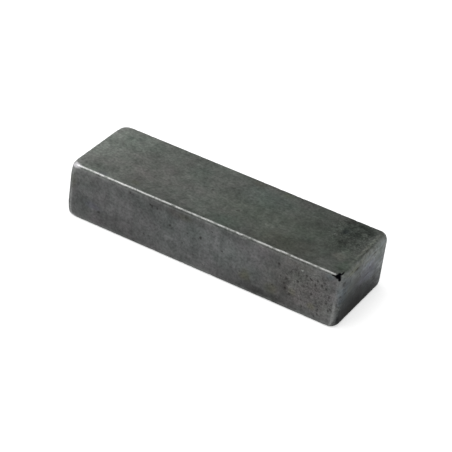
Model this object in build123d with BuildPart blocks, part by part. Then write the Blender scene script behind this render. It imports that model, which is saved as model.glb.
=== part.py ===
"""Square-ended parallel key: one plain steel bar that locks a hub to its shaft.

Millimetres. The key lies on its wide face: +X runs along its length, +Y across its width, +Z up
through its height, and the origin is the middle of the bottom face.
"""

import os

from build123d import *

# Overall size, a standard section and length for shafts of about 58 to 65 mm.
length = 56.0
width = 18.0
height = 11.0

# Rounds. The long edges keep the small break of drawn key bar, so that the key seats at the foot
# of both keyways. The sawn ends are dressed by hand, which takes more off them.
long_edge_round = 0.6
end_edge_round = 0.9
end_corner_round = 1.2

with BuildPart() as parallel_key:
    # Seen from above, a rectangle whose four upright corners are the most rounded edges of all.
    with BuildSketch(Plane.XY):
        RectangleRounded(length, width, end_corner_round)
    extrude(amount=height)

    # The top and bottom outlines get the small break, which follows the upright corners round.
    outlines = parallel_key.faces().filter_by(Axis.Z).edges()
    fillet(outlines, long_edge_round)

    # Seen from the side, the dressed ends turn over into the top and bottom faces on a larger
    # round than the long edges, so the bar is trimmed to that side view.
    with BuildSketch(Plane.XZ):
        with Locations((0, height / 2)):
            RectangleRounded(length, height, end_edge_round)
    extrude(amount=width / 2, both=True, mode=Mode.INTERSECT)

parallel_key.part.label = "parallel_key"

os.makedirs("parts", exist_ok=True)
export_step(parallel_key.part, "parts/parallel_key.step")
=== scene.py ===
"""Parallel key of steel bar: its worn, oxidised finish, and a plain pale studio round it."""

import math
import random

import bmesh
import bpy
from bpy.props import FloatProperty, FloatVectorProperty, IntProperty, PointerProperty
from mathutils import Matrix, Vector, kdtree, noise


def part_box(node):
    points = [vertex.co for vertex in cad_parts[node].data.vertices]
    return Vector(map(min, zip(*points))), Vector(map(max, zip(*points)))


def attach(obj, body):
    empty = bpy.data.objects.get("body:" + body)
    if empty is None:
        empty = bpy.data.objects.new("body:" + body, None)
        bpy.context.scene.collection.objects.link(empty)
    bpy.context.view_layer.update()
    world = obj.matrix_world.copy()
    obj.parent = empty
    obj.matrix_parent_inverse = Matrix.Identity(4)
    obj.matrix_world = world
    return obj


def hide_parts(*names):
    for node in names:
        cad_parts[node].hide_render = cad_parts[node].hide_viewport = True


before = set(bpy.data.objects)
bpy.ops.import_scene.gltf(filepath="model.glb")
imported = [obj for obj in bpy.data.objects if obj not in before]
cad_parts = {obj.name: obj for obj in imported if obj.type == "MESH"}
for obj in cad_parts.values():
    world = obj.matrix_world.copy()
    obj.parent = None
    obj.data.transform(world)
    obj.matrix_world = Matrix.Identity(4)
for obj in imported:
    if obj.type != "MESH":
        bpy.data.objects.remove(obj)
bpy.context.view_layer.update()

bl_info = {
    "name": "Parallel key",
    "version": (1, 0, 0),
    "blender": (4, 5, 0),
    "location": "View3D > Sidebar > Parallel key",
    "description": "Builds a worn steel parallel key and the studio that shows it",
    "category": "Add Mesh",
}

NODE = "parallel_key"
LOW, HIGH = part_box(NODE)
MIDDLE = (LOW + HIGH) / 2
HALF = (HIGH - LOW) / 2
MM = 0.001
AXES = range(3)
WHITE = (1.0, 1.0, 1.0, 1.0)


# ---------------------------------------------------------------- sizes and colours


def colour(name, description, default):
    return FloatVectorProperty(
        name=name, description=description, default=default, subtype="COLOR", min=0.0, max=1.0
    )


def length(name, description, default):
    return FloatProperty(
        name=name, description=description, default=default, unit="LENGTH", precision=5
    )


def share(name, description, default):
    return FloatProperty(
        name=name, description=description, default=default, subtype="FACTOR", min=0.0, max=1.0
    )


def angle(name, description, degrees):
    return FloatProperty(
        name=name, description=description, default=math.radians(degrees), subtype="ANGLE"
    )


class KeyShape(bpy.types.PropertyGroup):
    """Sizes of the key's bar and of the marks on it."""

    long_edge_round: length("Long edge round", "Radius of the four long edges", 0.6 * MM)
    end_edge_round: length("End edge round", "Radius of the ends' top and bottom edges", 0.9 * MM)
    end_corner_round: length("End corner round", "Radius of the four upright edges", 1.2 * MM)
    left_dressing: length("Left dressing", "Reach of the file round each corner at -X", 2.5 * MM)
    right_dressing: length("Right dressing", "Reach of the file round each corner at +X", 1.6 * MM)
    grid_pitch: length("Grid pitch", "Size of the mesh's faces on the flats", 0.22 * MM)
    waviness: length("Waviness", "How far the flats wander from true", 0.010 * MM)
    pit_depth: length("Pit depth", "Depth of the deepest pits", 0.09 * MM)
    nick_depth: length("Nick depth", "Depth of the deepest nicks along the edges", 0.06 * MM)
    seed: IntProperty(name="Seed", description="Start of the random places of the marks", default=7)


class KeyFinish(bpy.types.PropertyGroup):
    """Colours and roughness of the key's steel, with its painted highlights and painted dark
    reflection.
    """

    steel: colour("Steel", "Dull oxidised steel", (0.090, 0.0912, 0.0912))
    # Burnish: rubbed metal along the edges, with a painted highlight of the lamp over it.
    burnish_and_glint: colour("Burnish", "Bare metal rubbed bright along the edges", (0.36, 0.36, 0.355))
    # Bare: worn metal at the left end's corners, with a painted highlight, brightest at the upper
    # front one.
    bare_and_glint: colour("Bare", "Bare metal on the most rubbed corner", (0.69, 0.675, 0.70))
    worn: colour("Worn", "Half bare metal on the dressed ends and corners", (0.19, 0.195, 0.19))
    # Scale: near black, used only for the painted dark reflection in a star at the near top corner.
    scale: colour("Scale", "Black scale left where nothing rubs", (0.0015, 0.0015, 0.002))
    grime: colour("Grime", "Dirt on the floor of the pits", (0.022, 0.021, 0.019))


class Studio(bpy.types.PropertyGroup):
    """Where the camera stands, the lamp, the light from all round, and the floor."""

    azimuth: angle("Azimuth", "Camera's turn round the key, from square on to its side", 25.72)
    elevation: angle("Elevation", "Camera's height above the key", 33.07)
    roll: angle("Roll", "Camera's tilt about its own line of sight", 8.27)
    distance: length("Distance", "From the camera to the key's middle", 380.0 * MM)
    lens: FloatProperty(name="Lens", description="Focal length in millimetres", default=168.9)
    aim: FloatVectorProperty(
        name="Aim",
        description="Where the camera looks, from the key's middle",
        default=(0.35 * MM, -0.14 * MM, -0.43 * MM),
        subtype="XYZ",
        unit="LENGTH",
    )
    softbox_power: FloatProperty(name="Softbox", description="Power of the large lamp", default=1.3)
    softbox_width: length("Softbox width", "Longer side of the large lamp", 0.5)
    softbox_depth: length("Softbox depth", "Shorter side of the large lamp", 0.4)
    softbox_place: FloatVectorProperty(
        name="Softbox place",
        description="Where the large lamp hangs, from the key's middle",
        default=(-0.12, -0.10, 0.42),
        subtype="XYZ",
        unit="LENGTH",
    )
    sky_light: share("Sky light", "Strength of the light from all round", 0.5)
    floor: colour("Floor", "Colour of the floor", (0.78, 0.78, 0.78))
    floor_radius: length("Floor radius", "Radius of the round floor", 4.0)
    floor_glow: share("Floor glow", "Light that the floor adds to what the camera sees of it", 0.55)


# ---------------------------------------------------------------- mesh


def edge_axis(edge):
    """The axis that an edge lies along, or None if it lies along none."""
    nearly_all = 0.999
    run = edge.verts[1].co - edge.verts[0].co
    longest = max(AXES, key=lambda axis: abs(run[axis]))
    return longest if abs(run[longest]) > nearly_all * run.length else None


def squared_bar():
    """The bar with sharp edges, filling the CAD piece's box."""
    bm = bmesh.new()
    bmesh.ops.create_cube(bm, size=1.0)
    bmesh.ops.scale(bm, vec=HIGH - LOW, verts=bm.verts)
    bmesh.ops.translate(bm, vec=MIDDLE, verts=bm.verts)
    return bm


def rounded_bar(shape):
    """The bar with each kind of edge on its own radius, blended at the corners."""
    rounds = (shape.long_edge_round, shape.end_edge_round, shape.end_corner_round)
    bm = squared_bar()
    weight = bm.edges.layers.float.new("bevel_weight_edge")
    for edge in bm.edges:
        edge[weight] = rounds[edge_axis(edge)] / max(rounds)
    blank = bpy.data.meshes.new("blank")
    bm.to_mesh(blank)
    bm.free()
    holder = bpy.data.objects.new("blank", blank)
    bpy.context.scene.collection.objects.link(holder)
    bevel = holder.modifiers.new("Rounds", "BEVEL")
    bevel.limit_method = "WEIGHT"
    bevel.width = max(rounds)
    bevel.segments = 8
    bevel.profile = 0.5
    bevel.use_clamp_overlap = False
    evaluated = holder.evaluated_get(bpy.context.evaluated_depsgraph_get())
    rounded = bpy.data.meshes.new_from_object(evaluated)
    bpy.data.objects.remove(holder)
    bpy.data.meshes.remove(blank)
    return rounded


def gridded(mesh, pitch):
    """A bmesh of the rounded bar, with its flats and rounds cut into a fine grid."""
    shortest_run = 5 * pitch
    bm = bmesh.new()
    bm.from_mesh(mesh)
    for axis in AXES:
        along = [edge for edge in bm.edges if edge_axis(edge) == axis]
        runs = [edge for edge in along if edge.calc_length() > shortest_run]
        longest = max(edge.calc_length() for edge in runs)
        cuts = round(longest / pitch) - 1
        bmesh.ops.subdivide_edges(bm, edges=runs, cuts=cuts, use_grid_fill=True)
    return bm


def dress_corners(bm, shape):
    """Smooth the eight corners over, the more the nearer, as a file and handling leave them."""
    passes = 60
    for side, reach in ((-1, shape.left_dressing), (1, shape.right_dressing)):
        for turn in ((-1, -1), (-1, 1), (1, -1), (1, 1)):
            corner = MIDDLE + Vector((side, *turn)) * HALF
            near = [((vert.co - corner).length, vert) for vert in bm.verts]
            near = [(gap, vert) for gap, vert in near if gap < reach]
            for step in range(passes):
                limit = reach * (1 - step / passes)
                verts = [vert for gap, vert in near if gap < limit]
                bmesh.ops.smooth_vert(
                    bm, verts=verts, factor=0.5, use_axis_x=True, use_axis_y=True, use_axis_z=True
                )


# Larger pits on the front side: X and Z, radius and depth as a share of the deepest, in mm.
FRONT_PITS = (
    (-6.3, 6.8, 0.30, 1.0),
    (-10.7, 9.3, 0.31, 1.0),
    (-21.0, 3.2, 0.28, 0.8),
    (4.5, 6.1, 0.24, 0.6),
    (-2.7, 6.7, 0.22, 0.5),
    (-9.2, 9.1, 0.24, 0.5),
    (-11.3, 2.8, 0.26, 0.5),
    (2.1, 9.1, 0.22, 0.5),
    (1.1, 1.7, 0.22, 0.5),
    (-1.0, 2.9, 0.22, 0.4),
    (15.7, 8.5, 0.30, 0.7),
    (17.2, 5.1, 0.28, 0.7),
    (17.5, 4.2, 0.34, 0.9),
    (22.3, 8.0, 0.26, 0.7),
    (22.6, 5.2, 0.26, 0.7),
    (23.1, 7.3, 0.30, 0.9),
    (23.4, 8.3, 0.26, 0.7),
    (24.1, 2.3, 0.26, 0.6),
    (24.3, 7.7, 0.28, 0.8),
    (25.2, 7.4, 0.28, 0.8),
    (26.2, 3.3, 0.26, 0.6),
)


# How many pits are strewn on each long side, on the flats and on the ends, and how many nicks.
SIDE_PITS = 46
FLAT_PITS = 60
END_PITS = 120
LONG_EDGE_NICKS = 110
END_EDGE_NICKS = 60

# Nicks that lie just where they are put, on the front top edge: X in mm.
FRONT_EDGE_NICKS = (5.2, 8.0, 9.6)


def pits(shape):
    """Place, radius and depth of every pit, as (Vector, radius, depth)."""
    draw = random.Random(shape.seed)
    rim = 0.8 * MM
    crowd_x, crowd_spread = 22.5, 3.6
    for x, z, radius, depth in FRONT_PITS:
        yield Vector((x * MM, LOW.y, z * MM)), radius * MM, depth * shape.pit_depth
    for side in (LOW.y, HIGH.y):
        for _ in range(SIDE_PITS):
            x = min(draw.gauss(crowd_x, crowd_spread) * MM, HIGH.x - rim)
            z = draw.uniform(LOW.z + rim, HIGH.z - rim)
            radius = draw.uniform(0.15, 0.27) * MM
            yield Vector((x, side, z)), radius, draw.uniform(0.15, 0.7) * shape.pit_depth
    for _ in range(FLAT_PITS):
        x = draw.uniform(LOW.x, HIGH.x)
        y = draw.uniform(LOW.y, HIGH.y)
        z = draw.choice((LOW.z, HIGH.z))
        radius = draw.uniform(0.16, 0.26) * MM
        yield Vector((x, y, z)), radius, draw.uniform(0.1, 0.4) * shape.pit_depth
    for _ in range(END_PITS):
        x = draw.choice((LOW.x, HIGH.x))
        y = draw.uniform(LOW.y, HIGH.y)
        z = draw.uniform(LOW.z, HIGH.z)
        radius = draw.uniform(0.18, 0.32) * MM
        yield Vector((x, y, z)), radius, draw.uniform(0.1, 0.5) * shape.pit_depth


def nicks(shape):
    """Place, radius and depth of every nick along the long edges and the end edges."""
    draw = random.Random(shape.seed + 1)
    inset = 0.18 * MM
    heights = (LOW.z + inset, HIGH.z - inset)
    for _ in range(LONG_EDGE_NICKS):
        x = draw.uniform(LOW.x, HIGH.x)
        y = draw.choice((LOW.y + inset, HIGH.y - inset))
        z = draw.choice(heights)
        radius = draw.uniform(0.18, 0.55) * MM
        yield Vector((x, y, z)), radius, draw.uniform(0.2, 1.0) * shape.nick_depth
    for x in FRONT_EDGE_NICKS:
        place = Vector((x * MM, LOW.y + inset, HIGH.z - inset))
        yield place, 0.30 * MM, shape.nick_depth
    for _ in range(END_EDGE_NICKS):
        x = draw.choice((LOW.x + inset, HIGH.x - inset))
        y = draw.uniform(LOW.y, HIGH.y)
        z = draw.choice(heights)
        radius = draw.uniform(0.25, 0.7) * MM
        yield Vector((x, y, z)), radius, draw.uniform(0.2, 1.0) * shape.nick_depth


def smooth_step(low, high, value):
    """0 below low, 1 above high, and a smooth rise between them."""
    part = min(max((value - low) / (high - low), 0.0), 1.0)
    return part * part * (3 - 2 * part)


def bump_at(value, centre, width):
    """1 at the centre, falling smoothly to 0 a width away."""
    return 1 - smooth_step(0.0, width, abs(value - centre))


def wander(place, size, seed=0.0):
    """Smooth noise about 0, with features of about a size, in metres."""
    return noise.noise(place / size + Vector((seed, 2 * seed, -seed)))


def clamped(value):
    """The value, kept between 0 and 1."""
    return min(max(value, 0.0), 1.0)


def turned(towards, away):
    """How far a normal is turned towards one axis and away from another, in degrees."""
    return math.degrees(math.atan2(towards, away))


def off(part):
    """1 where a normal hardly points along an axis, and 0 where it mostly does."""
    return 1 - smooth_step(0.25, 0.75, part)


# Wear, and the painted highlights laid over it, go by where a place is, in metres, and by which way
# its normal is turned, in degrees.
# The last number given to wander, where there is one, picks a pattern of its own.


def crown_of_long_edge(place, from_flat, to_left):
    """Bright line on the crown of a long edge, duller to the right and rubbed in dashes: rubbed
    metal with a painted highlight of the lamp.
    """
    middle = 31.0 + 7.0 * wander(place, 2.2 * MM, 13.0)
    spread = 27.0 + 6.0 * wander(place, 1.3 * MM, 17.0) + 10.0 * to_left
    spread += 3.5 * bump_at(place.x, 5 * MM, 10 * MM)
    duller = 0.26 * smooth_step(-24 * MM, 8 * MM, place.x)
    rub = 0.55 + 0.5 * wander(place, 1.7 * MM) + 0.7 * wander(place, 0.45 * MM, 3.0)
    dashed = 0.26 + 0.24 * smooth_step(-16 * MM, -2 * MM, place.x)
    rub = 1.0 - dashed * (1.0 - clamped(rub))
    return bump_at(from_flat, middle, spread) * (1.0 - duller) * rub


def shoulder_of_long_edge(place, from_flat):
    """Half worn strip on the side, just past the round of a long edge."""
    inward = HALF.z - abs(place.z - MIDDLE.z)
    start, fall = 0.5 * MM, 0.22 * MM
    amount = 0.42 + 0.5 * wander(place, 1.1 * MM, 7.0)
    amount += 0.35 * smooth_step(-14 * MM, -24 * MM, place.x)
    amount *= 1.0 + 0.7 * bump_at(place.x, 0.0, 5 * MM)
    return bump_at(from_flat, 88.0, 33.0) * math.exp(-max(inward - start, 0.0) / fall) * amount


def wear_of_upright(place, from_side, upper):
    """A soft band and a narrow crest, both half worn, on an upright edge."""
    thin = 0.26 * bump_at(place.z, 6.6 * MM, 2.8 * MM)
    band = bump_at(from_side, 26.0 + 14.0 * upper, 34.0 + 10.0 * upper)
    band *= 0.43 - thin + 0.5 * wander(place, 0.9 * MM, 9.0)
    dull = 0.3 * bump_at(place.z, 6.4 * MM, 2.4 * MM)
    crest = 0.94 - dull - 0.39 * upper + 0.5 * wander(place, 1.5 * MM, 11.0)
    return band, bump_at(from_side, 17.0, 11.0) * crest


def worn_glinting_corner(place, normal_sizes, from_flat, to_left):
    """Metal worn bright at the left end's corners, most of all at the upper front one, with a
    painted highlight of the lamp over the wear.
    """
    x, y, z = normal_sizes
    tip = smooth_step(0.12, 0.45, x) * smooth_step(0.15, 0.45, y) * smooth_step(0.08, 0.38, z)
    wedge = smooth_step(3.0, 14.0, from_flat) * smooth_step(88.0, 64.0, from_flat) * off(x)
    at_front = 1.0 if place.y < 0 < place.z - MIDDLE.z else 0.5
    return to_left * at_front * max(tip, wedge) * (0.88 + 0.25 * wander(place, 0.7 * MM, 19.0))


def edge_finish(place, normal):
    """How burnished, half worn and worn to the metal the surface is near an edge, each 0 to 1; the
    burnish and the worn left corners carry painted highlights.
    """
    x, y, z = (abs(part) for part in normal)
    from_flat, from_side, from_top = turned(y, z), turned(x, y), turned(x, z)
    to_left = smooth_step(-25.3 * MM, -26.7 * MM, place.x)
    burnish_and_glint = crown_of_long_edge(place, from_flat, to_left) * off(x)
    slope = bump_at(from_top, 44.0, 36.0) * (0.46 + 0.5 * wander(place, 1.2 * MM, 5.0))
    worn = max(shoulder_of_long_edge(place, from_flat) * off(x), slope * off(y))
    upper = smooth_step(4 * MM, 9 * MM, place.z)
    band, crest = wear_of_upright(place, from_side, upper)
    burnish_and_glint = max(burnish_and_glint, 0.42 * crest * (1 - upper) * off(z))
    worn = max(worn, max(band, crest) * off(z))
    bare_and_glint = worn_glinting_corner(place, (x, y, z), from_flat, to_left)
    return clamped(burnish_and_glint), clamped(worn), clamped(bare_and_glint)


def add_marks(bm, shape):
    """Sink the pits and nicks, make the flats wander, and note each finish as an attribute."""
    bm.normal_update()
    bm.verts.ensure_lookup_table()
    count = len(bm.verts)
    tree = kdtree.KDTree(count)
    for index, vert in enumerate(bm.verts):
        tree.insert(vert.co, index)
    tree.balance()
    normals = [vert.normal.copy() for vert in bm.verts]
    names = ("burnish_and_glint", "worn", "bare_and_glint", "pit")
    layers = {name: bm.verts.layers.float.new(name) for name in names}
    facing = bm.verts.layers.float_vector.new("facing")
    edge_zone = 2.5 * MM
    for vert, normal in zip(bm.verts, normals):
        inside = sorted(HALF[axis] - abs(vert.co[axis] - MIDDLE[axis]) for axis in AXES)
        if inside[1] < edge_zone:
            for name, amount in zip(names, edge_finish(vert.co, normal)):
                vert[layers[name]] = amount
        vert[facing] = [abs(part) for part in normal]
    sunk = [0.0] * count
    for place, radius, depth in pits(shape):
        for _, index, gap in tree.find_range(place, radius):
            inside = 1 - smooth_step(0.25, 1.0, gap / radius)
            sunk[index] = max(sunk[index], depth * inside)
            vert = bm.verts[index]
            dark = inside * min(1.0, 0.35 + depth / shape.pit_depth)
            vert[layers["pit"]] = max(vert[layers["pit"]], dark)
    for place, radius, depth in nicks(shape):
        for _, index, gap in tree.find_range(place, radius):
            inside = 1 - smooth_step(0.2, 1.0, gap / radius)
            sunk[index] = max(sunk[index], depth * inside)
            vert = bm.verts[index]
            vert[layers["burnish_and_glint"]] *= 1 - 0.9 * inside * depth / shape.nick_depth
    for vert, normal, depth in zip(bm.verts, normals, sunk):
        swell = wander(vert.co, 9.0 * MM) + 0.3 * wander(vert.co, 2.5 * MM, 4.0)
        vert.co -= normal * (depth + shape.waviness * (0.6 + 0.5 * swell))


# ---------------------------------------------------------------- materials


class Graph:
    """Adds nodes to one node tree and joins them."""

    def __init__(self, tree):
        self.tree = tree
        self.nodes = tree.nodes
        self.links = tree.links

    def feed(self, socket, value):
        """Join an output to a socket, or set the socket to a plain value."""
        if isinstance(value, bpy.types.NodeSocket):
            self.links.new(value, socket)
        else:
            socket.default_value = value

    def node(self, kind, inputs=None, **settings):
        """A new node with its settings, and each named input set or joined."""
        made = self.nodes.new("ShaderNode" + kind)
        for name, value in settings.items():
            setattr(made, name, value)
        for name, value in (inputs or {}).items():
            self.feed(made.inputs[name], value)
        return made

    def group(self, tree, inputs):
        """An instance of a node group, with its named inputs set or joined."""
        made = self.nodes.new("ShaderNodeGroup")
        made.node_tree = tree
        for name, value in inputs.items():
            self.feed(made.inputs[name], value)
        return made.outputs[0]

    def math(self, operation, *values, clamp=False):
        made = self.node("Math", operation=operation, use_clamp=clamp)
        for socket, value in zip(made.inputs, values):
            self.feed(socket, value)
        return made.outputs[0]

    def vector(self, operation, *values):
        made = self.node("VectorMath", operation=operation)
        for socket, value in zip(made.inputs, values):
            self.feed(socket, value)
        return made.outputs["Value" if operation == "LENGTH" else "Vector"]

    def ramp(self, value, low, high, to_low=0.0, to_high=1.0, smooth=True):
        """The value's place between low and high, put between two other numbers."""
        names = ("Value", "From Min", "From Max", "To Min", "To Max")
        return self.node(
            "MapRange",
            dict(zip(names, (value, low, high, to_low, to_high))),
            interpolation_type="SMOOTHSTEP" if smooth else "LINEAR",
        ).outputs["Result"]

    def blend(self, factor, under, over, way="MIX"):
        """Two colours blended."""
        made = self.node("Mix", data_type="RGBA", blend_type=way)
        for index, value in ((0, factor), (6, under), (7, over)):
            self.feed(made.inputs[index], value)
        return made.outputs[2]

    def attribute(self, name, output="Fac"):
        return self.node("Attribute", attribute_name=name).outputs[output]


def new_group(name, inputs, output):
    """An empty node group: its graph, its inputs by name, and the node that takes its result."""
    tree = bpy.data.node_groups.new(name, "ShaderNodeTree")
    for socket, (kind, default) in inputs.items():
        made = tree.interface.new_socket(socket, in_out="INPUT", socket_type="NodeSocket" + kind)
        made.default_value = default
    tree.interface.new_socket(output, in_out="OUTPUT", socket_type="NodeSocketFloat")
    graph = Graph(tree)
    given = tree.nodes.new("NodeGroupInput").outputs
    result = tree.nodes.new("NodeGroupOutput").inputs[output]
    return graph, given, result


def cloud_group():
    """Soft mottling: a mask from 0 to 1 about a half."""
    inputs = {
        "Place": ("Vector", (0, 0, 0)),
        "Size": ("Float", 1.0),
        "Detail": ("Float", 3.0),
        "Contrast": ("Float", 1.0),
    }
    graph, given, result = new_group("Cloud", inputs, "Mask")
    pattern = graph.node(
        "TexNoise",
        {
            "Vector": given["Place"],
            "Scale": graph.math("DIVIDE", 1.0, given["Size"]),
            "Detail": given["Detail"],
            "Roughness": 0.6,
        },
    )
    centred = graph.math("SUBTRACT", pattern.outputs["Fac"], 0.5)
    strong = graph.math("MULTIPLY", centred, given["Contrast"])
    graph.feed(result, graph.math("ADD", strong, 0.5, clamp=True))
    return graph.tree


def stain_and_shade_group():
    """A soft ragged spot with its centre and reach along each axis: 1 in the middle, 0 outside."""
    inputs = {
        "Place": ("Vector", (0, 0, 0)),
        "Shift": ("Vector", (0, 0, 0)),
        "Ragged": ("Float", 0.0),
        "Centre": ("Vector", (0, 0, 0)),
        "Reach": ("Vector", (1, 1, 1)),
        "Core": ("Float", 0.2),
    }
    graph, given, result = new_group("Stain and shade", inputs, "Mask")
    ragged = {"Vector": given["Shift"], "Scale": given["Ragged"]}
    shift = graph.node("VectorMath", ragged, operation="SCALE")
    offset = graph.vector("ADD", given["Place"], shift.outputs["Vector"])
    offset = graph.vector("SUBTRACT", offset, given["Centre"])
    far = graph.vector("LENGTH", graph.vector("DIVIDE", offset, given["Reach"]))
    graph.feed(result, graph.ramp(far, 1.0, given["Core"]))
    return graph.tree


def speck_group():
    """Scattered specks: one in each cell, on a share of the cells."""
    inputs = {
        "Place": ("Vector", (0, 0, 0)),
        "Spacing": ("Float", 1.0),
        "Size": ("Float", 0.3),
        "Share": ("Float", 0.5),
    }
    graph, given, result = new_group("Specks", inputs, "Mask")
    cells = graph.node(
        "TexVoronoi",
        {"Vector": given["Place"], "Scale": graph.math("DIVIDE", 1.0, given["Spacing"])},
    )
    full = graph.math("MULTIPLY", given["Size"], 0.4)
    spot = graph.ramp(cells.outputs["Distance"], given["Size"], full)
    chance = graph.node("SeparateColor", {"Color": cells.outputs["Color"]}).outputs["Red"]
    kept = graph.math("LESS_THAN", chance, given["Share"])
    graph.feed(result, graph.math("MULTIPLY", spot, kept))
    return graph.tree


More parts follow.
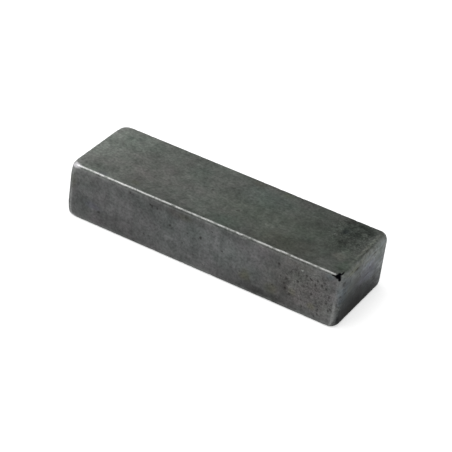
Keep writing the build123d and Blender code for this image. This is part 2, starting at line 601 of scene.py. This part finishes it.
# Soft stains and patches of tone, and painted light at the left end, in mm: what it is, centre,
# reach, and the colour that it multiplies the steel by.
STAINS = (
    # painted light: the top and the left end lighter towards the left
    ("pale left end", (-29, 3.5, 11.5), (13, 12, 5), (1.46, 1.475, 1.47)),
    ("mauve bloom", (-15, -3, 11.5), (12, 7, 3), (1.05, 1.0, 1.02)),
    ("green bloom", (-21, 5.5, 11.5), (6, 3.5, 3), (1.02, 1.06, 1.04)),
    ("green spot", (-8, 5, 11.5), (3.5, 3.5, 3), (0.95, 1.02, 0.99)),
    ("olive green middle", (9, -1, 11.5), (16, 9, 3), (0.955, 0.995, 0.935)),
    ("first dark spot at the left", (-24.3, 5.5, 11.2), (1.1, 1.2, 1), (0.76, 0.78, 0.78)),
    ("second dark spot at the left", (-22.2, 5.8, 11.2), (1.2, 1.3, 1), (0.72, 0.74, 0.74)),
    ("blue-green bloom", (6, 4, 11.5), (8, 4.5, 3), (0.93, 0.99, 1.0)),
    ("near green bloom", (3, -7, 11.5), (5, 3, 3), (0.88, 0.96, 0.92)),
    ("olive bloom", (15, -6.5, 11.5), (9, 4.5, 3), (0.80, 0.78, 0.73)),
    ("dark right top", (21, 2, 12), (11, 12, 3.5), (0.72, 0.76, 0.72)),
    ("black-green blot", (22.9, 5.8, 11.5), (4.7, 4.8, 2.5), (0.60, 0.63, 0.61)),
    ("black-green tail", (22.9, -0.3, 11.5), (3.2, 4.0, 2.5), (0.80, 0.83, 0.80)),
    ("black patch one", (20.9, 7.6, 11.2), (1.3, 1.4, 1), (0.62, 0.60, 0.60)),
    ("black patch two", (21.7, 4.2, 11.2), (1.3, 1.6, 1), (0.58, 0.61, 0.66)),
    ("black patch three", (23.4, 7.4, 11.2), (1.3, 1.2, 1), (0.62, 0.62, 0.62)),
    ("black patch four", (25.5, 6.7, 11.2), (1.2, 1.9, 1), (0.55, 0.58, 0.56)),
    ("black patch five", (22.4, 0.9, 11.2), (1.4, 1.3, 1), (0.72, 0.72, 0.72)),
    ("black patch six", (24.4, 1.9, 11.2), (1.1, 1.4, 1), (0.72, 0.76, 0.73)),
    ("black patch seven", (26.4, -4.2, 11.2), (1.0, 1.0, 1), (0.66, 0.70, 0.66)),
    ("black patch eight", (26.3, -6.6, 11.2), (1.0, 0.9, 1), (0.66, 0.70, 0.66)),
    ("light patch one", (24.5, 5.4, 11.2), (1.0, 0.8, 1), (1.50, 1.50, 1.47)),
    ("light patch two", (22.6, 6.0, 11.2), (0.9, 0.8, 1), (1.40, 1.40, 1.40)),
    ("light patch three", (19.8, 6.2, 11.2), (1.2, 1.1, 1), (1.22, 1.22, 1.20)),
    ("dim back strip", (3, 8.9, 11.2), (9, 1.5, 1.2), (0.76, 0.74, 0.72)),
    ("brown patch", (2.2, 7.4, 11.2), (2.2, 1.1, 1), (0.80, 0.78, 0.74)),
    ("pale spot", (24.2, -3.6, 11.4), (2.0, 1.7, 2), (1.42, 1.36, 1.32)),
    ("pale patch by the end", (25.3, -1.6, 11.3), (2.0, 2.2, 1.5), (1.26, 1.25, 1.23)),
    ("near right green", (26.5, -6, 11.5), (2.5, 3, 2), (0.85, 0.93, 0.86)),
    ("dim strip along the edge", (5, -8.8, 11.2), (21, 2.6, 1.2), (0.70, 0.71, 0.70)),
    ("dim strip, left part", (-9.5, -8.4, 11.2), (6.5, 2.4, 1.2), (0.84, 0.84, 0.84)),
    ("dim strip, right part", (19.5, -8.4, 11.2), (4.5, 2.4, 1.2), (0.85, 0.85, 0.85)),
    ("pale strip at the left", (-22.5, -8.4, 11.2), (4.5, 2.0, 1.2), (1.15, 1.16, 1.15)),
    ("dim near strip", (-9, -6.3, 11.4), (13, 2.8, 2), (0.90, 0.90, 0.90)),
    ("lavender patch", (-21.3, -8.2, 11.2), (2.0, 1.0, 1), (1.0, 0.98, 1.08)),
    ("olive patch", (-15.3, -6.9, 11.2), (1.5, 1.2, 1), (0.98, 1.0, 0.88)),
    ("far olive patch", (8.0, 7.6, 11.2), (1.6, 1.2, 1), (0.97, 1.0, 0.90)),
    ("pale left top corner", (-24.5, -9.3, 9.2), (4.5, 2, 2.6), (1.12, 1.11, 1.10)),
    ("pale cloud", (-17, -9.3, 6.3), (5.5, 2, 3.2), (1.24, 1.24, 1.24)),
    ("grey cloud", (-8, -9.3, 6.3), (5, 2, 5.5), (0.83, 0.83, 0.83)),
    ("second pale cloud", (4.5, -9.3, 7.8), (4.5, 2, 3), (1.20, 1.20, 1.20)),
    ("dim heel", (-25.3, -9.3, 3.4), (4, 2, 3.8), (0.76, 0.76, 0.76)),
    ("dim lower left", (-17, -9.3, 0.6), (12, 2, 2.8), (0.83, 0.83, 0.83)),
    ("dim lower right", (13, -9.3, 1.9), (9.5, 2, 3.4), (0.80, 0.80, 0.80)),
    ("dim foot", (6, -9.3, 2), (4.5, 2, 2.8), (0.86, 0.86, 0.86)),
    ("dim column", (15.2, -9.3, 7.4), (2.6, 2, 4.6), (0.84, 0.84, 0.84)),
    ("pale foot", (25.6, -9.3, 2.5), (2.6, 2, 3.2), (1.18, 1.17, 1.15)),
    ("pale rim", (20, -9.2, 9.9), (5, 1.5, 0.9), (1.16, 1.15, 1.12)),
    ("cool front", (1, -9.5, 6.5), (15, 3, 6), (0.99, 1.03, 1.02)),
    ("brown front", (20, -9.5, 6), (10, 3, 8), (1.0, 0.96, 0.925)),
    ("blue streak", (-22.5, -9.5, 4), (3.0, 2, 1.2), (0.84, 0.84, 0.94)),
    ("dark toe", (13.5, -9.5, 0.4), (9.5, 2.5, 3.6), (0.60, 0.59, 0.58)),
    ("dim bottom rim", (11, -9.2, 0.4), (10, 1.5, 2.2), (0.74, 0.74, 0.74)),
    ("mauve heel", (-17, -9.5, 2), (9, 2.5, 2.8), (0.98, 0.95, 0.96)),
    ("olive spot one", (9.6, -9.2, 3.3), (1.7, 1.5, 1.9), (0.90, 0.89, 0.72)),
    ("olive spot between", (15.0, -9.2, 2.9), (1.8, 1.5, 1.5), (1.0, 1.0, 0.84)),
    ("olive spot two", (23.0, -9.2, 2.8), (1.2, 1.2, 1.0), (1.04, 1.04, 0.88)),
    ("olive spot three", (19.0, -9.2, 4.0), (1.0, 1.2, 1.0), (1.0, 1.0, 0.88)),
    ("olive top edge", (-3.5, -9.2, 9.8), (2.2, 1.2, 1.2), (1.02, 1.0, 0.90)),
    ("dark blot", (17.3, -9.2, 4.6), (1.9, 1.5, 2.4), (0.62, 0.61, 0.60)),
    ("brown patch under the edge", (-5.8, -9.2, 9.6), (1.7, 1.2, 1.4), (0.84, 0.80, 0.78)),
    ("green corner", (-27.2, -9.2, 7.5), (1.3, 1.5, 2.8), (1.0, 1.04, 0.92)),
    ("dark cloud", (-12, -9.2, 8.8), (6, 2, 2.8), (0.76, 0.78, 0.77)),
    ("dark top rim", (-4, -9.2, 10.2), (12, 1.5, 2.0), (0.70, 0.70, 0.69)),
)

# Soft stains that only the end faces take, with painted light and shade: the end lighter at its top
# and far side, and darker towards its foot.
END_STAINS_AND_SHADE = (
    # painted light: the end lighter towards its top
    ("end bloom", (28.5, 6, 9.5), (3.5, 12, 7.5), (1.50, 1.50, 1.53)),
    # painted shade, here and in the next two lines: the end darker towards its foot
    ("end shade", (28.3, -4, 0), (6, 16, 10.5), (0.12, 0.12, 0.125)),
    ("end foot shade", (28.3, 3.9, 0.4), (5, 5.0, 4.2), (0.42, 0.42, 0.43)),
    ("end toe shade", (28.3, -1.6, 0.2), (5, 7.6, 3.8), (0.50, 0.50, 0.50)),
    # painted light: the end lighter low on its far side
    ("end far glow", (28.3, 7.6, 4.0), (5, 3.4, 3.8), (1.46, 1.45, 1.46)),
    ("end olive", (28.0, -4, 10.5), (3.0, 5, 1.2), (1.02, 0.98, 0.84)),
    ("end lilac", (28.3, 1.5, 6.6), (4.0, 5.5, 3.2), (1.0, 0.98, 1.11)),
    ("end blue", (28.2, -7.4, 6.6), (4.0, 2.2, 4.2), (0.91, 0.985, 1.06)),
    # painted light, here and in the next line: a lighter band across the end
    ("end pale band", (28.3, -0.2, 7.8), (4.0, 2.6, 1.6), (1.22, 1.21, 1.22)),
    ("end pale band, far part", (28.3, 4.3, 5.0), (4.0, 2.0, 1.4), (1.07, 1.07, 1.08)),
    ("end dim rim", (28.3, 4.2, 8.5), (4.0, 2.8, 2.6), (0.91, 0.925, 0.90)),
    ("end far rim", (28.3, 7.2, 9.3), (4.0, 1.4, 1.2), (1.24, 1.24, 1.20)),
    ("end near rim", (28.3, -6.9, 8.6), (4.0, 2.2, 1.8), (0.84, 0.84, 0.84)),
    ("end olive foot", (28.3, -4.4, 1.7), (4.0, 1.6, 1.4), (1.05, 1.03, 0.86)),
)

# Thin or small marks that lie just where they are put.
MARKS = (
    ("white fleck", (20.25, -9.05, 9.1), (0.27, 0.6, 0.30), (2.9, 3.0, 3.0)),
    ("light ridge by the end", (26.88, 1.5, 11.0), (0.34, 9.5, 0.8), (1.58, 1.57, 1.50)),
    ("dark line by the end", (27.38, 1.0, 10.96), (0.21, 5.0, 0.5), (0.60, 0.58, 0.55)),
    ("pale rim of the end edge", (27.80, -0.8, 10.66), (0.32, 7.6, 0.32), (1.20, 1.19, 1.17)),
    ("end streak", (28.0, -3.6, 10.0), (0.9, 1.4, 0.33), (0.27, 0.25, 0.20)),
    ("end streak, heart", (28.0, -3.5, 10.0), (0.9, 0.7, 0.28), (0.50, 0.48, 0.40)),
    ("faint end streak", (28.0, 3.3, 9.8), (0.9, 1.3, 0.4), (0.56, 0.56, 0.53)),
    ("dark blot by the star", (27.9, -8.1, 9.35), (0.9, 0.8, 0.8), (0.42, 0.42, 0.42)),
    ("dash under the nicks", (8.5, -9.0, 10.60), (0.9, 0.5, 0.13), (1.9, 1.9, 1.85)),
    ("second dash", (12.0, -9.0, 10.36), (0.7, 0.5, 0.12), (1.8, 1.8, 1.75)),
    ("third dash", (17.7, -9.0, 10.42), (0.9, 0.5, 0.12), (1.7, 1.7, 1.65)),
    ("blue patch by the star", (25.6, -9.0, 10.1), (1.3, 1.0, 0.8), (0.96, 1.04, 1.08)),
    ("blue patch on the corner", (27.6, -8.8, 7.8), (0.9, 0.9, 1.8), (0.95, 1.0, 1.05)),
)

# A painted dark reflection in a star at one corner, over the bright edge: part of it, centre and
# reach, in mm.
DARK_REFLECTION_STAR = (
    ("heart", (26.80, -8.66, 10.64), (0.72, 0.68, 0.54)),
    ("shoulder", (26.88, -8.34, 10.92), (0.42, 0.52, 0.45)),
    ("arm along the long edge", (26.2, -8.88, 10.66), (0.70, 0.26, 0.15)),
    ("arm along the end edge", (27.20, -7.80, 10.98), (0.16, 0.84, 0.30)),
    ("arm down the corner", (27.26, -8.88, 10.36), (0.38, 0.40, 0.60)),
)


class SteelGraph(Graph):
    """The steel's nodes: the places and masks its layers share, and a step for each layer."""

    def __init__(self, tree, finish):
        super().__init__(tree)
        self.finish = finish
        self.cloud_tree = cloud_group()
        self.stain_and_shade_tree = stain_and_shade_group()
        self.speck_tree = speck_group()
        metres = self.node("TexCoord").outputs["Object"]
        in_mm = self.node("VectorMath", {"Vector": metres, "Scale": 1 / MM}, operation="SCALE")
        self.place = in_mm.outputs["Vector"]
        self.shift = self.jitter(0.55, 4.0, (5.0, 4.0, 3.0))
        self.jittered = self.vector("ADD", self.place, self.jitter(2.5, 2.0, (0.8, 0.8, 0.8)))
        self.spans = self.node("SeparateXYZ", {"Vector": self.place}).outputs
        facing = self.attribute("facing", "Vector")
        self.facing = self.node("SeparateXYZ", {"Vector": facing}).outputs
        self.fine = self.cloud(0.5, 3.0, 2.0)
        self.corner = self.spot((23.0, 4.0, 11.3), (7.0, 8.5, 2.5), 0.35)
        self.pitted = self.most(
            self.spot((22.5, -9.5, 6.0), (9, 4, 7), 0.3),
            self.spot((22.5, 9.5, 6.0), (9, 4, 7), 0.3),
        )

    def times(self, one, other):
        return self.math("MULTIPLY", one, other)

    def most(self, one, other):
        return self.math("MAXIMUM", one, other)

    def between(self, value, low, high):
        """A value from 0 to 1, put evenly between two others."""
        return self.ramp(value, 0, 1, low, high, smooth=False)

    def scaled(self, under, by):
        """A colour multiplied by another, or by a plain value."""
        return self.blend(1.0, under, by, "MULTIPLY")

    def tinted(self, mask, under, tint):
        """A colour multiplied by a tint, as far as the mask goes."""
        return self.blend(mask, under, (*tint, 1), "MULTIPLY")

    def covered(self, mask, under, over):
        """A colour with a plain one over it, as far as the mask goes."""
        return self.blend(mask, under, (*over, 1))

    def jitter(self, scale, detail, reach):
        """A vector that wanders about 0, with a reach in mm along each axis."""
        noisy = self.node("TexNoise", {"Vector": self.place, "Scale": scale, "Detail": detail})
        centred = self.vector("SUBTRACT", noisy.outputs["Color"], (0.5, 0.5, 0.5))
        return self.vector("MULTIPLY", centred, reach)

    def cloud(self, size, detail, contrast, place=None):
        """Cloudy noise about 0.5, with features of about a size in mm."""
        where = self.place if place is None else place
        inputs = {"Place": where, "Size": size, "Detail": detail, "Contrast": contrast}
        return self.group(self.cloud_tree, inputs)

    def spot(self, centre, reach, core=0.2):
        """A soft patch, for stains and for painted light and shade, that is the more ragged the
        wider it is.
        """
        ragged = min(1.0, sorted(reach)[1] / 4.0)
        where = {"Place": self.place, "Shift": self.shift, "Ragged": ragged}
        shape = {"Centre": centre, "Reach": reach, "Core": core}
        return self.group(self.stain_and_shade_tree, {**where, **shape})

    def flecks(self, place, spacing, size, part):
        inputs = {"Place": place, "Spacing": spacing, "Size": size, "Share": part}
        return self.group(self.speck_tree, inputs)

    def end_streaks(self):
        """Light and dark streaks across the end faces, with an oily change of hue."""
        drawn_out = self.vector("MULTIPLY", self.place, (1.0, 0.2, 1.0))
        light = self.between(self.cloud(0.55, 3.0, 2.0, drawn_out), 0.80, 1.70)
        oil = self.cloud(0.9, 2.0, 3.5, drawn_out)
        return self.scaled(self.blend(oil, (0.965, 1.0, 0.945, 1), (0.941, 1.0, 1.025, 1)), light)

    def mottled(self):
        """Dull steel, clouded, with a hue for each face, and painted light on the flats: lighter to
        the left, darker to the right.
        """
        wide = self.between(self.cloud(6.0, 2.0, 1.6), 0.76, 1.24)
        middling = self.between(self.cloud(1.8, 3.0, 1.8), 0.68, 1.32)
        shade = self.times(self.times(wide, middling), self.between(self.fine, 0.62, 1.38))
        tinge = self.cloud(3.5, 3.0, 2.2)
        steel = self.blend(tinge, (0.965, 1.02, 0.985, 1), (1.035, 0.985, 1.01, 1))
        steel = self.tinted(1.0, steel, self.finish.steel)
        steel = self.scaled(steel, shade)
        steel = self.tinted(self.facing["Z"], steel, (0.99, 1.045, 0.955))
        steel = self.blend(self.facing["X"], steel, self.end_streaks(), "MULTIPLY")
        # Painted light: the flats lighter to the left and darker to the right.
        light_falloff = self.ramp(self.spans["X"], -28, 28, 1.34, 0.80, smooth=False)
        return self.blend(self.facing["Z"], steel, self.scaled(steel, light_falloff))

    def stained_and_shaded(self, steel):
        """The stains and painted light of every face, the veins at the far right corner, and the
        ends' stains and painted light and shade.
        """
        for _, centre, reach, tint in STAINS:
            steel = self.tinted(self.spot(centre, reach), steel, tint)
        veins = self.times(self.corner, self.cloud(0.9, 3.0, 4.5))
        steel = self.tinted(self.corner, steel, (1.37, 1.33, 1.36))
        steel = self.tinted(veins, steel, (0.50, 0.52, 0.51))
        # Painted light and shade on the end, with its stains.
        for _, centre, reach, tint in END_STAINS_AND_SHADE:
            on_end = self.times(self.spot(centre, reach), self.facing["X"])
            steel = self.tinted(on_end, steel, tint)
        return steel

    def gritty(self, steel):
        """Fine grit where the key is pitted, at the far right corner and low on the ends."""
        low_end = self.times(self.facing["X"], self.ramp(self.spans["Z"], 6.5, 3.5))
        rough = self.most(self.times(self.pitted, self.facing["Y"]), self.corner)
        rough = self.most(rough, low_end)
        grit = self.between(self.cloud(0.28, 2.0, 2.4), 0.66, 1.36)
        steel = self.blend(rough, steel, self.scaled(steel, grit))
        roughest = self.times(self.most(self.corner, low_end), 0.55)
        return self.blend(roughest, steel, self.scaled(steel, grit))

    def speckle(self):
        """Small dark pits, coarse and fine, the denser where the key is pitted."""
        dense = self.between(self.pitted, 0.06, 0.36)
        dense = self.times(dense, self.between(self.facing["Z"], 1.0, 0.25))
        coarse = self.flecks(self.jittered, 1.15, 0.34, dense)
        small = self.flecks(self.place, 0.5, 0.38, self.times(dense, 0.55))
        return self.most(coarse, self.times(small, 0.6))

    def marked(self, steel):
        """The marks that lie just where they are put."""
        for _, centre, reach, tint in MARKS:
            where = {"Place": self.jittered, "Centre": centre, "Reach": reach}
            steel = self.tinted(self.group(self.stain_and_shade_tree, where), steel, tint)
        return steel

    def dark_reflection_star(self):
        """1 where the painted dark reflection lies."""
        black = 0.0
        for _, centre, reach in DARK_REFLECTION_STAR:
            where = {"Place": self.place, "Centre": centre, "Reach": reach, "Core": 0.55}
            black = self.most(black, self.group(self.stain_and_shade_tree, where))
        return black


def steel_material(finish):
    """Oxidised steel: mottled and stained, pitted, and rubbed bright along the edges, with painted
    light and shade, painted highlights and a painted dark reflection.
    """
    material = bpy.data.materials.new("key_steel")
    material.use_nodes = True
    graph = SteelGraph(material.node_tree, finish)
    shader = graph.nodes["Principled BSDF"].inputs

    steel = graph.gritty(graph.stained_and_shaded(graph.mottled()))
    speckle = graph.speckle()
    sunk = graph.most(graph.attribute("pit"), graph.times(speckle, 0.65))
    steel = graph.covered(sunk, steel, finish.grime)
    patchy = graph.ramp(graph.fine, 0.25, 0.6, 0.55, 1.0)
    steel = graph.covered(graph.times(graph.attribute("worn"), patchy), steel, finish.worn)
    steel = graph.marked(steel)
    dashes = graph.ramp(graph.fine, 0.2, 0.55, 0.5, 1.0)
    # Painted highlight along the edges' crowns, over the rubbed metal.
    burnish_and_glint = graph.times(graph.attribute("burnish_and_glint"), dashes)
    steel = graph.covered(burnish_and_glint, steel, finish.burnish_and_glint)
    # Painted highlight at the left end's corners, over the worn metal.
    bare_and_glint = graph.attribute("bare_and_glint")
    steel = graph.covered(bare_and_glint, steel, finish.bare_and_glint)
    # Painted dark reflection in a star at the near top corner.
    black = graph.dark_reflection_star()
    graph.feed(shader["Base Color"], graph.covered(black, steel, finish.scale))

    graph.feed(shader["Metallic"], graph.most(graph.between(sunk, 0.85, 0.3), black))
    rough = graph.between(graph.fine, 0.38, 0.52)
    rough = graph.math("SUBTRACT", rough, graph.times(graph.most(burnish_and_glint, bare_and_glint), 0.18))
    rough = graph.math("ADD", rough, graph.times(sunk, 0.3), clamp=True)
    graph.feed(shader["Roughness"], rough)
    shader["Specular IOR Level"].default_value = 0.3
    shader["Specular Tint"].default_value = (0.5, 0.5, 0.5, 1.0)

    grain = graph.times(graph.cloud(0.25, 2.0, 1.5), 0.35)
    height = graph.math("SUBTRACT", grain, speckle)
    bump = graph.node("Bump", {"Strength": 0.35, "Distance": 0.03 * MM, "Height": height})
    graph.feed(shader["Normal"], bump.outputs["Normal"])
    return material


# ---------------------------------------------------------------- operators


def add_object(name, data):
    """A new object in the scene, for a mesh, a lamp or a camera."""
    made = bpy.data.objects.new(name, data)
    bpy.context.scene.collection.objects.link(made)
    return made


class OBJECT_OT_key_bar(bpy.types.Operator):
    """Add the key's bar, with its rounded edges and its marks"""

    bl_idname = "object.key_bar"
    bl_label = "Key bar"

    def execute(self, context):
        shape = context.scene.key_shape
        rounded = rounded_bar(shape)
        bm = gridded(rounded, shape.grid_pitch)
        dress_corners(bm, shape)
        add_marks(bm, shape)
        mesh = bpy.data.meshes.new("key_bar")
        bm.to_mesh(mesh)
        bm.free()
        mesh.polygons.foreach_set("use_smooth", [True] * len(mesh.polygons))
        bar = add_object("key_bar", mesh)
        mesh.materials.append(steel_material(context.scene.key_finish))
        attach(bar, "root")
        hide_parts(NODE)
        return {"FINISHED"}


def aim_at(place, target, roll=0.0):
    """The matrix of a camera or lamp at a place, looking at a target."""
    turn = (target - place).to_track_quat("-Z", "Y").to_matrix().to_4x4()
    return Matrix.Translation(place) @ turn @ Matrix.Rotation(roll, 4, "Z")


def seen_directly(graph):
    """1 for what the camera sees straight, in a reflection or through glass, and 0 for light."""
    seen = graph.node("LightPath").outputs
    either = graph.math("MAXIMUM", seen["Is Camera Ray"], seen["Is Glossy Ray"])
    return graph.math("MAXIMUM", either, seen["Is Transmission Ray"])


def floor_material(studio):
    """White paint, lifted a little where it is seen, so that it stays white beside its shadow."""
    paint = bpy.data.materials.new("studio_floor")
    paint.use_nodes = True
    graph = Graph(paint.node_tree)
    shader = graph.nodes["Principled BSDF"]
    shader.inputs["Base Color"].default_value = (*studio.floor, 1.0)
    shader.inputs["Roughness"].default_value = 1.0
    shader.inputs["Specular IOR Level"].default_value = 0.0
    shader.inputs["Emission Color"].default_value = WHITE
    glow = graph.math("MULTIPLY", seen_directly(graph), studio.floor_glow)
    graph.feed(shader.inputs["Emission Strength"], glow)
    return paint


def studio_world(studio):
    """A white room: full white where it is seen, and softer as a light."""
    world = bpy.data.worlds.new("studio_world")
    world.use_nodes = True
    graph = Graph(world.node_tree)
    sky = graph.nodes["Background"]
    sky.inputs["Color"].default_value = WHITE
    strength = graph.ramp(seen_directly(graph), 0, 1, studio.sky_light, 1.0, False)
    graph.feed(sky.inputs["Strength"], strength)
    return world


def add_floor(studio):
    """A round floor at the height of the key's underside."""
    bm = bmesh.new()
    underside = Matrix.Translation((0.0, 0.0, LOW.z))
    bmesh.ops.create_circle(
        bm, cap_ends=True, segments=96, radius=studio.floor_radius, matrix=underside
    )
    mesh = bpy.data.meshes.new("studio_floor")
    bm.to_mesh(mesh)
    bm.free()
    mesh.materials.append(floor_material(studio))
    floor = add_object("studio_floor", mesh)


def add_softbox(studio):
    """A large soft lamp above the key, to the left of it and in front."""
    lamp = bpy.data.lights.new("softbox", "AREA")
    lamp.shape = "RECTANGLE"
    lamp.size, lamp.size_y = studio.softbox_width, studio.softbox_depth
    lamp.energy = studio.softbox_power
    softbox = add_object("softbox", lamp)
    softbox.matrix_world = aim_at(MIDDLE + Vector(studio.softbox_place), MIDDLE)


def add_camera(studio):
    """A long lens that looks down on the key from the front right."""
    lens = bpy.data.cameras.new("camera")
    lens.lens = studio.lens
    lens.sensor_width = 36.0
    lens.clip_start = 0.01
    camera = add_object("camera", lens)
    turn, lift = studio.azimuth, studio.elevation
    back = Vector(
        (math.sin(turn) * math.cos(lift), -math.cos(turn) * math.cos(lift), math.sin(lift))
    )
    target = MIDDLE + Vector(studio.aim)
    camera.matrix_world = aim_at(target + back * studio.distance, target, studio.roll)
    return camera


class SCENE_OT_key_studio(bpy.types.Operator):
    """Add the floor, the lamp and the camera"""

    bl_idname = "scene.key_studio"
    bl_label = "Studio"

    def execute(self, context):
        scene = context.scene
        studio = scene.key_studio
        add_floor(studio)
        add_softbox(studio)
        scene.world = studio_world(studio)
        scene.camera = add_camera(studio)
        scene.view_settings.view_transform = "Standard"
        return {"FINISHED"}


class VIEW3D_PT_parallel_key(bpy.types.Panel):
    """Sidebar panel with the key's operators and settings"""

    bl_label = "Parallel key"
    bl_space_type = "VIEW_3D"
    bl_region_type = "UI"
    bl_category = "Parallel key"

    def draw(self, context):
        scene = context.scene
        for operator, group in (
            ("object.key_bar", scene.key_shape),
            (None, scene.key_finish),
            ("scene.key_studio", scene.key_studio),
        ):
            box = self.layout.box()
            if operator:
                box.operator(operator)
            for name in group.bl_rna.properties.keys():
                if name not in {"rna_type", "name"}:
                    box.prop(group, name)


CLASSES = (
    KeyShape,
    KeyFinish,
    Studio,
    OBJECT_OT_key_bar,
    SCENE_OT_key_studio,
    VIEW3D_PT_parallel_key,
)


def register():
    for item in CLASSES:
        bpy.utils.register_class(item)
    bpy.types.Scene.key_shape = PointerProperty(type=KeyShape)
    bpy.types.Scene.key_finish = PointerProperty(type=KeyFinish)
    bpy.types.Scene.key_studio = PointerProperty(type=Studio)


def unregister():
    del bpy.types.Scene.key_studio
    del bpy.types.Scene.key_finish
    del bpy.types.Scene.key_shape
    for item in reversed(CLASSES):
        bpy.utils.unregister_class(item)


def main():
    register()
    bpy.ops.object.key_bar()
    bpy.ops.scene.key_studio()


if __name__ == "__main__":
    main()
